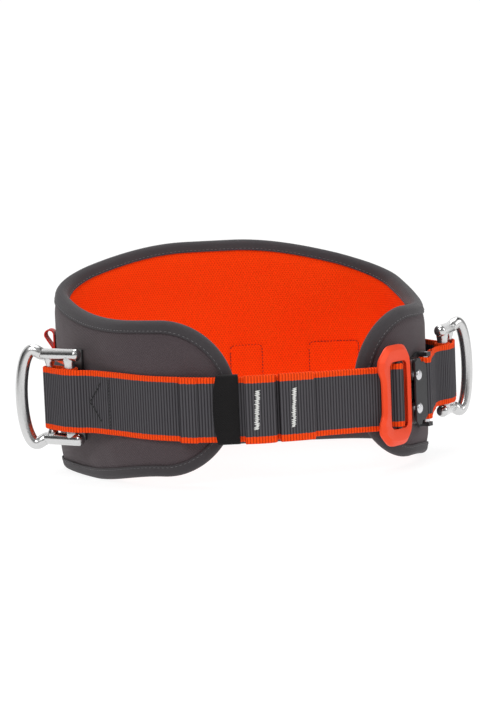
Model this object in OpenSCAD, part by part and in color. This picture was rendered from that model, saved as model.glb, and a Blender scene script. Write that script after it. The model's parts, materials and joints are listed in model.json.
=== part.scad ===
// Padded work-positioning belt with two side D-rings and a quick-release buckle.
// Origin: on the ground under the middle of the belt. +Z is up, -Y is the wearer's front.
// The pad is a strip bent round the waist: every point on it is a distance s along the
// strip from the middle of the back, a height z and a depth d inwards from its outer face.

/* [Pad plan] */
// Distance from the belt's middle to the outside of the back
back_y = 115.5; // [114:0.5:117]
// Length of the shallow arc across half of the back
back_arc = 107; // [104:1:110]
// Radius of the back
back_r = 285; // [270:5:300]
// Length of the arc round the hip
hip_arc = 67; // [64:1:70]
// Radius round the hip
hip_r = 54.5; // [52:0.5:57]
// Length of the nearly straight side
side_arc = 85; // [82:1:88]
// Radius of the side
side_r = 258; // [240:5:280]
// Length of the arc that turns the side into the front wing
wing_arc = 74; // [71:1:76]
// Radius of that arc
wing_r = 97; // [94:1:101]
// Length of the wing's nearly straight end
end_arc = 30; // [27:1:33]
// Radius of the wing's end, where it turns in behind the strap
end_r = 110; // [100:5:130]

/* [Pad heights] */
// Height of the middle of the back
back_top = 164.5; // [150:0.5:170]
// Height of the wings' upper edge
wing_top = 116.5; // [112:0.5:120]
// Height of the wings' lower edge
wing_foot = 6.5; // [3:0.5:9]
// Length of each wing's rounded end
round_len = 56; // [50:1:60]

/* [Pad layers] */
// Thickness of the outer fabric
shell_t = 1.5; // [1:0.1:2]
// Thickness of the foam
foam_t = 9; // [7:0.5:12]
// Thickness of the spacer mesh lining
lining_t = 1.5; // [1:0.1:2]
// Thickness of the edge binding tape
bind_t = 1.2; // [0.8:0.1:1.5]
// Width of the binding tape on each face
bind_w = 10; // [8:0.5:12]

/* [Webbing] */
// Width of the load webbing
web_w = 45; // [44:0.5:46]
// Thickness of the load webbing
web_t = 2.2; // [1.8:0.1:2.4]
// Height of the webbing's middle at the D-rings
ring_z = 61.3; // [59:0.1:64]
// Rise of the webbing for each mm towards the back
web_rise = 0.068; // [0.05:0.002:0.08]
// Distance of the front strap's middle from the belt's middle
strap_y = 107.5; // [106:0.5:109]
// Place of the strap's end at the buckle, to the wearer's left
strap_x = 57; // [56:0.5:58]
// Length of the straight part of the strap
strap_straight = 85; // [84:0.5:86]
// Radius where the strap bends onto the wing
strap_r = 100; // [98:1:102]

/* [D-rings] */
// Distance from the belt's middle plane to the fold that holds a ring
fold_x = 159; // [157:1:162]
// Distance of that fold behind the belt's middle
fold_y = 0.5; // [0:0.5:1.5]
// Thickness of a ring's round stock
stock_d = 9; // [8:0.5:10]
// Height between the middles of a ring's legs
leg_gap = 61; // [60:0.5:62]
// Height between the middles of the stock across the bow
bow_h = 68; // [66:0.5:70]
// Reach of the bow's middle beyond the fold
bow_reach = 17.5; // [16:0.5:19]
// Angle that the bow is bent outwards from the legs
bow_bend = 32; // [25:1:36]
// Diameter of the hinge bar
hinge_d = 8; // [7:0.5:8.5]
// Distance of the hinge bar from the fold
hinge_t = 24; // [23:0.5:26]

/* [Buckle] */
// Angle of the buckle to the front strap
buckle_turn = 38; // [36:1:40]
// Distance that the buckle's plane stands in front of the strap
buckle_stand = 8; // [7.75:0.25:8.5]
// Height of the adjuster frame
frame_h = 72; // [70:1:74]
// Width of the adjuster frame
frame_w = 39; // [38:0.5:40]
// Thickness of the adjuster frame
frame_t = 4; // [3.5:0.1:4.4]
// Height of the rivets above and below the middle
rivet_z = 12; // [11.5:0.5:13]
// Diameter of the rivets' shanks
rivet_d = 5; // [4:0.5:5.5]
// Diameter of the anchor bar
anchor_d = 5; // [4:0.5:5.5]

/* [Hidden] */
$fn = 48;

STRAIGHT = 1e6;
gap = 0.3;
pad_t = shell_t + foam_t + lining_t;
pad_arcs = [[back_arc, back_r], [hip_arc, hip_r], [side_arc, side_r], [wing_arc, wing_r],
            [end_arc, end_r]];
pad_len = back_arc + hip_arc + side_arc + wing_arc + end_arc;
round_at = pad_len - round_len;
half_h = (wing_top - wing_foot) / 2;
mid_z = (wing_top + wing_foot) / 2;
bend_turn = 53.13;
buckle_back = 92;
bend_len = strap_r * bend_turn * PI / 180;
strap_arcs = [[strap_straight, STRAIGHT], [bend_len, strap_r], [200, STRAIGHT]];
stitch_t = 56;
buckle_z = ring_z - web_rise * buckle_back;

// A point and heading after travelling l along an arc of radius r that turns clockwise
function arc_step(p, l, r) = let (h = p[2] - l / r * 180 / PI)
    [p[0] + r * (sin(p[2]) - sin(h)), p[1] - r * (cos(p[2]) - cos(h)), h];

// A point and heading at distance s along a chain of arcs
function along(p, s, arcs, i = 0) =
    i == len(arcs) - 1 || s <= arcs[i][0]
        ? arc_step(p, s, arcs[i][1])
        : along(arc_step(p, arcs[i][0], arcs[i][1]), s - arcs[i][0], arcs, i + 1);

// A plan point of the pad at distance s from the back's middle, d inside its outer face
function pad_xy(s, d) = let (q = along([0, back_y, 0], abs(s), pad_arcs))
    [(s < 0 ? -1 : 1) * (q[0] + d * sin(q[2])), q[1] - d * cos(q[2])];

// A plan point of the front strap at distance a from the buckle, d outside its middle
function strap_xy(a, d) = let (q = along([strap_x, -strap_y, 180], a, strap_arcs))
    [q[0] - d * sin(q[2]), q[1] + d * cos(q[2])];

// The height of the webbing's middle at y
function web_z(y) = ring_z + web_rise * (y - fold_y);

function ease(t) = let (u = min(1, max(0, t))) u * u * (3 - 2 * u);

// Upper and lower edge of the pad before its ends are rounded
function top_line(s) = wing_top + (back_top - wing_top) * pow(1 - ease((s - 20) / 265), 1.2);
function foot_line(s) = wing_foot * ease((s - 230) / 75);

// Half height of the rounded end, inset by e
function round_h(s, e) = (half_h - e) * sqrt(max(0, 1 - pow((s - round_at) / (round_len - e), 2)));
function pad_top(s, e) = abs(s) > round_at ? mid_z + round_h(abs(s), e) : top_line(abs(s)) - e;
function pad_foot(s, e) = abs(s) > round_at ? mid_z - round_h(abs(s), e) : foot_line(abs(s)) + e;

// Stations along the pad, evenly spaced and then closer towards the rounded ends
body_n = 34;
end_n = 7;
function half_stations(e) = concat(
    [for (i = [0 : body_n]) i * round_at / body_n],
    [for (i = [1 : end_n]) round_at + (round_len - e) * sin(i * 86 / end_n)]);
function stations(e) = let (h = half_stations(e), n = len(h))
    concat([for (i = [n - 1 : -1 : 1]) -h[i]], h);

// A solid through rows of points that all have the same count; cap lists an end's faces
module sweep(rows, closed = false, cap = []) {
    n = len(rows);
    m = len(rows[0]);
    ends = len(cap) > 0 ? cap : [[for (k = [0 : m - 1]) k]];
    last = closed ? n - 1 : n - 2;
    sides = [for (i = [0 : last]) for (k = [0 : m - 1])
        let (a = i * m + k, b = i * m + (k + 1) % m,
             c = ((i + 1) % n) * m + k, d = ((i + 1) % n) * m + (k + 1) % m)
        each [[a, c, b], [b, c, d]]];
    caps = closed ? [] : [for (f = ends) each
        [f, [for (j = [len(f) - 1 : -1 : 0]) (n - 1) * m + f[j]]]];
    polyhedron([for (r = rows) each r], concat(sides, caps), convexity = 10);
}

// One cross-section of a wall: outside bottom, outside top, inside top, inside bottom
function section(outer, inner, z0, z1) = [[outer[0], outer[1], z0], [outer[0], outer[1], z1],
                                          [inner[0], inner[1], z1], [inner[0], inner[1], z0]];

// A layer of the pad between depths d0 and d1, its outline inset by e
module pad_layer(d0, d1, e) {
    sweep([for (s = stations(e)) section(pad_xy(s, d0), pad_xy(s, d1), pad_foot(s, e), pad_top(s, e))]);
}

// Webbing along the front strap's line from a0 to a1, between d0 and d1 outside its middle
module strap_strip(a0, a1, d0, d1, n = 12) {
    sweep([for (i = [0 : n]) let (a = a0 + (a1 - a0) * i / n, z = web_z(strap_xy(a, 0)[1]))
        section(strap_xy(a, d1), strap_xy(a, d0), z - web_w / 2, z + web_w / 2)]);
}

module pad_foam() {
    color([0.25, 0.25, 0.26]) pad_layer(shell_t, shell_t + foam_t, bind_t + gap);
}

module outer_shell() {
    color([0.34, 0.31, 0.32]) pad_layer(0, shell_t, bind_t + gap);
}

module mesh_lining() {
    color([1, 0.28, 0.05]) pad_layer(shell_t + foam_t, pad_t, bind_t + gap);
}

// The binding's middle line: along the top from left to right, round the right end and back
function edge_point(u, e) = let (h = half_stations(e), n = len(h) - 1)
    u <= 2 * n ? let (s = (u < n ? -1 : 1) * h[abs(u - n)]) [s, pad_top(s, e)]
               : let (v = u - 2 * n - 1, s = (v > n ? -1 : 1) * h[abs(n - v)]) [s, pad_foot(s, e)];
function edge_count() = 4 * (len(half_stations(0)) - 1) + 2;
function on_pad(q, d) = let (p = pad_xy(q[0], d)) [p[0], p[1], q[1]];

// The binding tape, folded over the pad's whole edge
module edge_binding() {
    color([0.29, 0.29, 0.31])
    sweep([for (u = [0 : edge_count() - 1])
        let (rim = edge_point(u, 0), lip = edge_point(u, bind_w), wall = edge_point(u, bind_t))
        [on_pad(lip, -gap), on_pad(lip, -gap - bind_t), on_pad(rim, -gap - bind_t),
         on_pad(rim, pad_t + gap + bind_t), on_pad(lip, pad_t + gap + bind_t),
         on_pad(lip, pad_t + gap), on_pad(wall, pad_t + gap), on_pad(wall, -gap)]], closed = true);
}

// The load webbing round the outside of the back, with a loop at each end for a hinge bar
loop_r = hinge_d / 2 + 0.06;
back_web_end = 206;
module back_webbing() {
    color([0.3, 0.3, 0.31]) {
        back_run();
        for (side = [0, 1]) mirror([side, 0, 0]) end_loop();
    }
}

module back_run() {
    n = 48;
    sweep([for (i = [0 : n]) let (s = back_web_end * (2 * i / n - 1), p = pad_xy(s, -gap),
                                  z = web_z(pad_xy(s, 0)[1]))
        section(pad_xy(s, -gap - web_t), p, z - web_w / 2, z + web_w / 2)]);
}

// The end of the webbing: from the pad's side out to the hinge bar and round it
module end_loop() {
    a = pad_xy(back_web_end, -gap - web_t / 2);
    b = tab_xy(hinge_t, 0);
    z = web_z(b[1]);
    translate([0, 0, z - web_w / 2]) linear_extrude(web_w) difference() {
        union() {
            translate(b) circle(loop_r + web_t);
            hull() {
                translate(a) circle(web_t / 2);
                translate(b) circle(web_t);
            }
        }
        translate(b) circle(loop_r);
    }
}

// Four sewn sleeves that hold the load webbing against the back
module webbing_tunnels() {
    color([0.27, 0.26, 0.27])
    for (mid = [-103, -27.5, 27.5, 103]) {
        half = abs(mid) > 100 ? 22.5 : 13.5;
        tunnel(mid - half, mid + half);
    }
}

module tunnel(s0, s1) {
    out = gap + web_t + gap;
    n = 8;
    sweep([for (i = [0 : n]) let (s = s0 + (s1 - s0) * i / n, z = web_z(pad_xy(s, 0)[1]),
                                  h = web_w / 2 + gap, lip = h + 7, p = pad_xy(s, -gap),
                                  q = pad_xy(s, -out), r = pad_xy(s, -out - 1.1))
        [[p[0], p[1], z - lip], [r[0], r[1], z - h - 1], [r[0], r[1], z + h + 1],
         [p[0], p[1], z + lip], [p[0], p[1], z + h + 0.6], [q[0], q[1], z + h],
         [q[0], q[1], z - h], [p[0], p[1], z - h - 0.6]]], cap = [[0, 1, 6, 7], [1, 2, 5, 6], [2, 3, 4, 5]]);
}

// A teardrop of ribbon that stands off the pad above the webbing
gear_s = 153;
gear_w = 14;
module gear_loop() {
    p = pad_xy(gear_s, -gap - 0.2);
    q = along([0, back_y, 0], gear_s, pad_arcs);
    color([0.86, 0.13, 0.06])
    translate([p[0], p[1], web_z(p[1]) + web_w / 2 + 1]) rotate([0, 0, q[2]])
        rotate([90, 0, 90]) translate([0, 0, -gear_w / 2]) linear_extrude(gear_w) difference() {
            hull() {
                translate([0.75, 1]) circle(0.75);
                translate([4, 12.3]) circle(4);
            }
            hull() {
                translate([2, 6]) circle(0.5);
                translate([4, 12.3]) circle(2.9);
            }
        }
}

module left_gear_loop() mirror([1, 0, 0]) gear_loop();
module right_gear_loop() gear_loop();

// A moulded plate that keeps the ring's legs off the fabric
module wear_plate(side) {
    color([0.06, 0.06, 0.07])
    sweep([for (i = [0 : 6]) let (s = side * (213 + 14 * (side < 0 ? 6 - i : i) / 6))
        section(pad_xy(s, -gap - 1.5), pad_xy(s, -gap), ring_z - 33, ring_z + 33)]);
}

module left_wear_plate() wear_plate(-1);
module right_wear_plate() wear_plate(1);

// Places of the tab that holds a ring: t forward from the fold, n outwards
function tab_xy(t, n) = [fold_x - 0.6 * t + 0.8 * n, fold_y - 0.8 * t - 0.6 * n];
module at_tab() {
    translate([fold_x, fold_y, ring_z]) rotate([0, 0, -90 - 36.87]) children();
}

// A ring's middle line: in along a leg, half an ellipse bent about the fold, out along a leg
bow_rise = (bow_h - leg_gap) / 2;
bow_start = 8;
leg_end = hinge_t + 9.5;
ring_line = concat(
    [[-leg_end, leg_gap / 2], [-leg_end / 2, leg_gap / 2]],
    [for (i = [0 : 4]) [bow_start * i / 4, leg_gap / 2 + bow_rise * ease(i / 4)]],
    [for (i = [1 : 23]) [bow_start + (bow_reach - bow_start) * sin(i * 7.5), bow_h / 2 * cos(i * 7.5)]],
    [for (i = [4 : -1 : 0]) [bow_start * i / 4, -leg_gap / 2 - bow_rise * ease(i / 4)]],
    [[-leg_end / 2, -leg_gap / 2], [-leg_end, -leg_gap / 2]]);
ring_n = len(ring_line);
function ring_point(i) = let (q = ring_line[i], b = bow_bend * ease(q[0] / 4))
    [-q[0] * cos(b), q[0] * sin(b), q[1]];
function unit(v) = v / norm(v);
function ring_dir(i) = unit(ring_point(min(i + 1, ring_n - 1)) - ring_point(max(i - 1, 0)));

module d_ring() {
    r = stock_d / 2;
    side = [0, 1, 0];
    n = 14;
    color([0.82, 0.83, 0.85]) {
        sweep([for (i = [0 : ring_n - 1])
            let (c = ring_point(i), t = ring_dir(i), u = unit(cross(t, side)), v = cross(u, t))
            [for (k = [0 : n - 1]) c + r * (cos(k * 360 / n) * u - sin(k * 360 / n) * v)]]);
        translate([hinge_t, 0, -leg_gap / 2]) cylinder(d = hinge_d, h = leg_gap);
        translate([5.5, 0, -leg_gap / 2]) cylinder(d = 6, h = leg_gap);
    }
}

module left_d_ring() mirror([1, 0, 0]) at_tab() d_ring();
module right_d_ring() at_tab() d_ring();

// The turn of webbing round a ring's outer bar
module ring_fold() {
    r = 3.05;
    reach = 9.5;
    color([0.31, 0.31, 0.32]) translate([5.5, 0, -web_w / 2]) linear_extrude(web_w) difference() {
        union() {
            circle(r + web_t);
            translate([0, -r - web_t]) square([reach, 2 * (r + web_t)]);
        }
        circle(r);
        translate([0, -r]) square([reach + 1, 2 * r]);
    }
}

module left_ring_fold() mirror([1, 0, 0]) at_tab() ring_fold();
module right_ring_fold() at_tab() ring_fold();

// Front strap from its sewn end beside the left ring to where it runs free
run_len = 50;
sewn_at = 207;
module front_strap() {
    color([0.3, 0.3, 0.31]) strap_strip(run_len, sewn_at + 23, -web_t / 2, web_t / 2, 30);
}

// The tail that comes back from the buckle and ends under the keeper
tail_out = web_t / 2 + 0.2;
tail_end = 143;
module strap_tail() {
    color([0.31, 0.31, 0.32]) strap_strip(run_len, tail_end, tail_out, tail_out + web_t, 20);
}

// Two folds bar-tacked in the tail, which stop it from running out of the buckle
module strap_pleats() {
    color([0.33, 0.33, 0.34]) {
        strap_strip(run_len, run_len + 25.5, tail_out + web_t + 0.1, tail_out + 2.6 * web_t, 5);
        strap_strip(run_len + 27.5, run_len + 50, tail_out + web_t + 0.1, tail_out + 2.6 * web_t, 5);
    }
}

// The parts of the strap and of the tail next to the buckle, which crumple as it is undone.
// They leave the frame's slot, pass behind its outer rail and bend into the strap's line.
run_from = 17;
run_in = 5.8;
run_r = 12;
run_slant = (run_from * sin(buckle_turn) - buckle_stand + run_in * cos(buckle_turn)
             - run_r * (1 - cos(buckle_turn))) / sin(buckle_turn);
run_bend = run_r * buckle_turn * PI / 180;
run_start = buckle_xy(run_from, run_in);
run_flat = run_start[0] - run_slant * cos(buckle_turn) - run_r * sin(buckle_turn)
           - (strap_x - run_len);
run_arcs = [[run_slant, STRAIGHT], [run_bend, run_r], [run_flat, STRAIGHT]];
function run_xy(a, d) = let (q = along([run_start[0], run_start[1], 180 + buckle_turn], a, run_arcs))
    [q[0] - d * sin(q[2]), q[1] + d * cos(q[2])];
module run_strip(d0, d1) {
    z0 = web_z(-strap_y);
    sweep([for (a = [0, run_slant, each [for (k = [1 : 6]) run_slant + run_bend * k / 6],
                     run_slant + run_bend + run_flat])
        section(run_xy(a, d1), run_xy(a, d0), z0 - web_w / 2, z0 + web_w / 2)]);
}

module strap_run() {
    color([0.3, 0.3, 0.31]) run_strip(-web_t / 2, web_t / 2);
}

module tail_run() {
    color([0.31, 0.31, 0.32]) run_strip(tail_out, tail_out + web_t);
}

// An elastic band round the strap and its tail
keeper_at = 110.5;
keeper_len = 14.5;
module elastic_keeper() {
    q = along([strap_x, -strap_y, 180], keeper_at, strap_arcs);
    depth = 2 * web_t + 0.2;
    room = 0.8;
    inner_room = 0.5;
    wall = 0.7;
    color([0.05, 0.05, 0.05]) translate([q[0], q[1], web_z(q[1])]) rotate([0, 0, q[2]]) difference() {
        translate([-keeper_len / 2, -web_t / 2 - inner_room - wall, -web_w / 2 - 0.9 - wall])
            cube([keeper_len, depth + inner_room + room + 2 * wall, web_w + 1.8 + 2 * wall]);
        translate([-keeper_len, -web_t / 2 - inner_room, -web_w / 2 - 0.9])
            cube([2 * keeper_len, depth + inner_room + room, web_w + 1.8]);
    }
}

// The right tab: doubled webbing sewn to the right wing beside its ring
module right_tab() {
    color([0.3, 0.3, 0.31])
    mirror([1, 0, 0]) strap_strip(sewn_at - 1, sewn_at + 23, -web_t / 2, web_t / 2, 3);
}

// Places of the buckle: x along it from the strap's end, y inwards from the wearer's front
module at_buckle() {
    translate([strap_x, -strap_y - buckle_stand, buckle_z]) rotate([0, 0, buckle_turn]) children();
}

// A flat plate in the buckle's plane between y0 and y1
module plate(y0, y1) {
    translate([0, y1, 0]) rotate([90, 0, 0]) linear_extrude(y1 - y0) children();
}

slot_x0 = 10;
slot_x1 = 33;
slot_h = 48;
tongue_t = 2.5;
tongue_h = 13;
tongue_x = 53.5;
bar_x = 22;
bar_d = 4;
bar_play = 2;
module adjuster_frame() {
    groove = 1.7;
    color([0.93, 0.3, 0.16]) at_buckle() difference() {
        plate(-frame_t / 2, frame_t / 2) difference() {
            polygon([for (sx = [1, -1]) each let (h = frame_h / 2)
                sx > 0 ? [[8, -h], [frame_w - 8, -h], [frame_w, -h + 9], [frame_w, h - 9],
                          [frame_w - 8, h], [8, h]]
                       : [[-4, h - 12], [-4, h - 18], [1, h - 24], [1, -h + 24],
                          [-4, -h + 18], [-4, -h + 12]]]);
            translate([slot_x0, -slot_h / 2]) square([slot_x1 - slot_x0, slot_h]);
        }
        translate([bar_x - 1.5, -groove / 2, -slot_h / 2 - 4.2])
            cube([3 + bar_play + 0.1, groove, slot_h + 8.4]);
        translate([slot_x1 + 2, -tongue_t / 2, -tongue_h / 2]) cube([frame_w, tongue_t, tongue_h]);
    }
}

// The latch tongue, fast in the frame, with a notch each side
module tongue_plate() {
    color([0.55, 0.56, 0.58]) at_buckle() plate(-tongue_t / 2, tongue_t / 2) difference() {
        polygon([[slot_x1 + 2, -tongue_h / 2], [tongue_x - 3, -tongue_h / 2], [tongue_x, -tongue_h / 2 + 3],
                 [tongue_x, tongue_h / 2 - 3], [tongue_x - 3, tongue_h / 2], [slot_x1 + 2, tongue_h / 2]]);
        for (s = [-1, 1]) translate([lever_x, s * tongue_h / 2]) square([5, 3], center = true);
    }
}

// The sliding bar that grips the strap, with flat ends that run in the frame's grooves
module friction_bar() {
    color([0.2, 0.2, 0.21]) at_buckle() {
        translate([bar_x, 0, -slot_h / 2 + 0.1]) cylinder(d = bar_d, h = slot_h - 0.2);
        translate([bar_x - 1.5, -0.8, -slot_h / 2 - 4]) cube([3, 1.6, slot_h + 8]);
    }
}

// The turn of webbing over the friction bar
module strap_wrap() {
    r = bar_d / 2 + 0.05;
    color([0.32, 0.32, 0.33]) at_buckle() translate([bar_x, 0, -web_w / 2])
        linear_extrude(web_w) difference() {
            circle(r + web_t - 0.1);
            circle(r);
        }
}

plate_x0 = 40.2;
plate_x1 = 56.4;
plate_t = 1.5;
inner_y = 2.7;
outer_y = -2.9;
anchor_x = 61.5;
lever_x = 44.5;

// An outline given by its upper half, from left to right, and the same again below
module even_outline(half) {
    n = len(half);
    polygon(concat(half, [for (i = [n - 1 : -1 : 0]) [half[i][0], -half[i][1]]]));
}

// A plate outline that narrows past its rivets
function waisted(x0, x1, h, waist) = [[x0, h - 3], [x0 + 3, h], [x0 + 7, h],
    [x0 + 9, h - waist], [x1 - 3, h - waist], [x1, h - waist - 3]];

module rivet_holes(d) {
    for (s = [-1, 1]) translate([lever_x, s * rivet_z]) circle(d = d);
}

// The inner plate, with ears that hold the anchor bar and a small hole in each corner
module buckle_back_plate() {
    ear_h = 27.6;
    color([0.42, 0.43, 0.44]) at_buckle() {
        plate(inner_y, inner_y + plate_t) difference() {
            even_outline([[plate_x0, 21], [plate_x0 + 3, 24], [plate_x1 - 5, 24], [plate_x1, ear_h],
                          [anchor_x + 5, ear_h], [anchor_x + 5, 24], [plate_x1, 24], [plate_x1, 18]]);
            rivet_holes(rivet_d);
            for (s = [-1, 1]) translate([anchor_x + 2.5, s * 25.8]) circle(d = 2.2);
        }
        for (s = [-1, 1]) translate([anchor_x - 3, -anchor_d / 2 - 1, s * 25.5 - 1.5])
            difference() {
                cube([6, inner_y + anchor_d / 2 + 1, 3]);
                translate([3, anchor_d / 2 + 1, -1]) cylinder(d = anchor_d, h = 5);
            }
    }
}

module buckle_cover_plate() {
    color([0.36, 0.37, 0.38]) at_buckle() plate(outer_y - plate_t, outer_y) difference() {
        even_outline(waisted(plate_x0, plate_x1, 24, 3));
        rivet_holes(rivet_d);
    }
}

// The moulded block between the plates: a bar behind the tongue's tip, with two spring seats
seat_z = 8.1;
module buckle_spacer() {
    color([0.05, 0.05, 0.05]) at_buckle() plate(outer_y, inner_y) union() {
        translate([plate_x1 - 2, -19]) square([2, 38]);
        for (s = [-1, 1]) translate([spring_x - 1.5, s * (seat_z - 0.6) - 0.6]) square([plate_x1 - spring_x, 1.2]);
    }
}

module buckle_rivets() {
    color([0.8, 0.8, 0.81]) at_buckle() for (s = [-1, 1]) translate([lever_x, 0, s * rivet_z]) rotate([90, 0, 0]) {
        translate([0, 0, -inner_y - plate_t]) cylinder(d = rivet_d, h = inner_y - outer_y + 2 * plate_t);
        translate([0, 0, -outer_y + plate_t]) cylinder(d1 = 8, d2 = 6, h = 1);
        translate([0, 0, -inner_y - plate_t - 0.8]) cylinder(d1 = 6.5, d2 = 7.5, h = 0.8);
    }
}

module anchor_bar() {
    color([0.5, 0.5, 0.52]) at_buckle() translate([anchor_x, 0, -27]) cylinder(d = anchor_d, h = 54);
}

// Webbing from the right wing round the anchor bar
module anchor_webbing() {
    r = anchor_d / 2 + 0.05;
    b = buckle_xy(anchor_x, 0);
    c = tab_xy(stitch_t + 4.5, 0);
    color([0.31, 0.31, 0.32]) translate([0, 0, buckle_z - web_w / 2]) linear_extrude(web_w) difference() {
        union() {
            translate(b) circle(r + web_t);
            hull() {
                translate(b) circle(web_t);
                translate(c) circle(web_t);
            }
        }
        translate(b) circle(r);
    }
}

function buckle_xy(x, y) = [strap_x + x * cos(buckle_turn) - y * sin(buckle_turn),
                            -strap_y - buckle_stand + x * sin(buckle_turn) + y * cos(buckle_turn)];

// A release lever: a boss on the rivet, a pawl beside the tongue and a thumb pad at the edge
module lever(side) {
    bore = rivet_d / 2 + 0.05;
    color([0.5, 0.5, 0.51]) at_buckle() mirror([0, 0, side < 0 ? 1 : 0])
    plate(-tongue_t / 2, tongue_t / 2) difference() {
        union() {
            translate([lever_x, rivet_z]) circle(4.4);
            polygon([[lever_x - 4.4, rivet_z], [lever_x + 4, rivet_z - 2], [lever_x + 8.2, rivet_z + 6],
                     [lever_x + 8.2, rivet_z + 11], [lever_x - 3, rivet_z + 11], [lever_x - 4.4, rivet_z + 9]]);
        }
        translate([lever_x, rivet_z]) circle(bore);
    }
}

module upper_lever() lever(1);
module lower_lever() lever(-1);

// A coil spring that pushes a lever's thumb pad outwards
spring_x = lever_x + 6.8;
spring_len = 4.8;
module lever_spring(side) {
    color([0.75, 0.75, 0.76]) at_buckle() translate([spring_x, 0, side > 0 ? seat_z : -seat_z - spring_len]) difference() {
        cylinder(d = 2.4, h = spring_len);
        translate([0, 0, -1]) cylinder(d = 1.4, h = spring_len + 2);
    }
}

module upper_spring() lever_spring(1);
module lower_spring() lever_spring(-1);

pad_foam();
outer_shell();
mesh_lining();
edge_binding();
back_webbing();
webbing_tunnels();
left_gear_loop();
right_gear_loop();
left_wear_plate();
right_wear_plate();
left_d_ring();
right_d_ring();
left_ring_fold();
right_ring_fold();
front_strap();
right_tab();
strap_tail();
strap_pleats();
elastic_keeper();
strap_run();
tail_run();
adjuster_frame();
tongue_plate();
friction_bar();
strap_wrap();
buckle_back_plate();
buckle_cover_plate();
buckle_spacer();
buckle_rivets();
anchor_bar();
anchor_webbing();
upper_lever();
lower_lever();
upper_spring();
lower_spring();
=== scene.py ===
# %% [markdown]
# # A padded work-positioning belt, surface by surface
# The belt is a foam pad bent round the waist, a loop of ribbed webbing that carries the load, two
# bent D-rings and a buckle. Its hard frame is already made, so this script dresses it:
# every soft piece is a surface worked out with numpy, and every finish is built from nodes.

# %% Load the fixed frame
import json
import bpy
import bmesh
import numpy as np
from mathutils import Matrix, Vector

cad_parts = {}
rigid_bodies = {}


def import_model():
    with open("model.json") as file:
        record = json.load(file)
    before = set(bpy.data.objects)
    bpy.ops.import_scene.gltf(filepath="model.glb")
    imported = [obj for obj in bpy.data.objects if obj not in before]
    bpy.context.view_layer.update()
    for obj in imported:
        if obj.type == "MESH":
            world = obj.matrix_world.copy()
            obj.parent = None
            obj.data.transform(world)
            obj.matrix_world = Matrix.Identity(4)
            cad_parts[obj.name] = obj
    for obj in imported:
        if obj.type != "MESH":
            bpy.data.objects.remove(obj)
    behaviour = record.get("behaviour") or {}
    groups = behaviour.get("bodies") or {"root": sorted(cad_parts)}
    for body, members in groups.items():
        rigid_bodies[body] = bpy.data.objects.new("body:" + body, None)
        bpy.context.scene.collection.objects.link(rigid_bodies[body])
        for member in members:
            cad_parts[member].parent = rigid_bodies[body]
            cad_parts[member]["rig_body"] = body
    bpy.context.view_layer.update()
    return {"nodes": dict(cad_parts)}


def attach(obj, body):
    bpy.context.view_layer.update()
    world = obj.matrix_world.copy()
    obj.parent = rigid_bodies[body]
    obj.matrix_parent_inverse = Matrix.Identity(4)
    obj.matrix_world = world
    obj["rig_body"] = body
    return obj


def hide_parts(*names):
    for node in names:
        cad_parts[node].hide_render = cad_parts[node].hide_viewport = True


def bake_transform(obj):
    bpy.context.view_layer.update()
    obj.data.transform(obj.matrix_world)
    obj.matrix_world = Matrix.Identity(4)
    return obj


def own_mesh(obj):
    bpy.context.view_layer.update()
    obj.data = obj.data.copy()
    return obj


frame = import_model()
show = bpy.context.scene.collection.objects.link

# %% [markdown]
# The camera stands low and a little to the left of the belt's front. It looks through a long lens,
# so that near and far parts keep nearly the same scale.

# %% The camera
AZIMUTH, ELEVATION, ROLL = np.radians([-17.06, 5.17, 2.36])
DISTANCE = 1.5
CENTRE, SHIFT_RIGHT, SHIFT_UP = Vector((0, 0.0115, 0.062)), -0.00754, 0.01432
back = Vector((np.sin(AZIMUTH) * np.cos(ELEVATION), -np.cos(AZIMUTH) * np.cos(ELEVATION),
               np.sin(ELEVATION)))
turn = (-back).to_track_quat("-Z", "Y").to_matrix() @ Matrix.Rotation(ROLL, 3, "Z").inverted()
aim = CENTRE + turn.col[0] * SHIFT_RIGHT + turn.col[1] * SHIFT_UP
camera = bpy.data.objects.new("camera", bpy.data.cameras.new("camera"))
camera.data.lens, camera.data.sensor_width = 99.5, 36
camera.matrix_world = Matrix.Translation(aim + back * DISTANCE) @ turn.to_4x4()
camera.data.clip_start, camera.data.clip_end = 0.1, 20
show(camera)
bpy.context.scene.camera = camera
print("camera", [round(v, 4) for v in camera.location])

# %% [markdown]
# ## Walking round the belt
# Everything soft follows one of two lines seen from above: the pad's outer face, or the strap that
# closes the front. Both are chains of arcs. A place on the pad is then three numbers, the distance
# s round it from the middle of the back, the height z and the depth d in from its outer face.

# %% Chains of arcs
STRAIGHT = 1e6
PAD_START, PAD_ARCS = (0, 115.5, 0), [(107, 285), (67, 54.5), (85, 258), (74, 97), (30, 110)]
STRAP_FOLD, RING_Z, CLIMB = 262.7, 61.3, 0.068
STRAP_START, STRAP_ARCS = (57, -107.5, np.pi), [(85, STRAIGHT), (92.73, 100), (200, STRAIGHT)]


def coords(*parts):
    """Coordinates side by side as points, each part stretched to the shape of the others."""
    return np.stack(np.broadcast_arrays(*parts), -1)


def walk(start, arcs, s):
    """Place and heading s along a chain of arcs: each arc adds radius x (difference of the sines
    and cosines of its headings), and the heading drops by length over radius."""
    x, y, heading = (np.full(np.shape(s), v, float) for v in start)
    done = 0.0
    for i, (length, radius) in enumerate(arcs):
        part = np.clip(np.asarray(s, float) - done, -np.inf if i == 0 else 0,
                       np.inf if i == len(arcs) - 1 else length)
        after = heading - part / radius
        x = x + radius * (np.sin(heading) - np.sin(after))
        y = y - radius * (np.cos(heading) - np.cos(after))
        heading, done = after, done + length
    return x, y, heading


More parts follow.
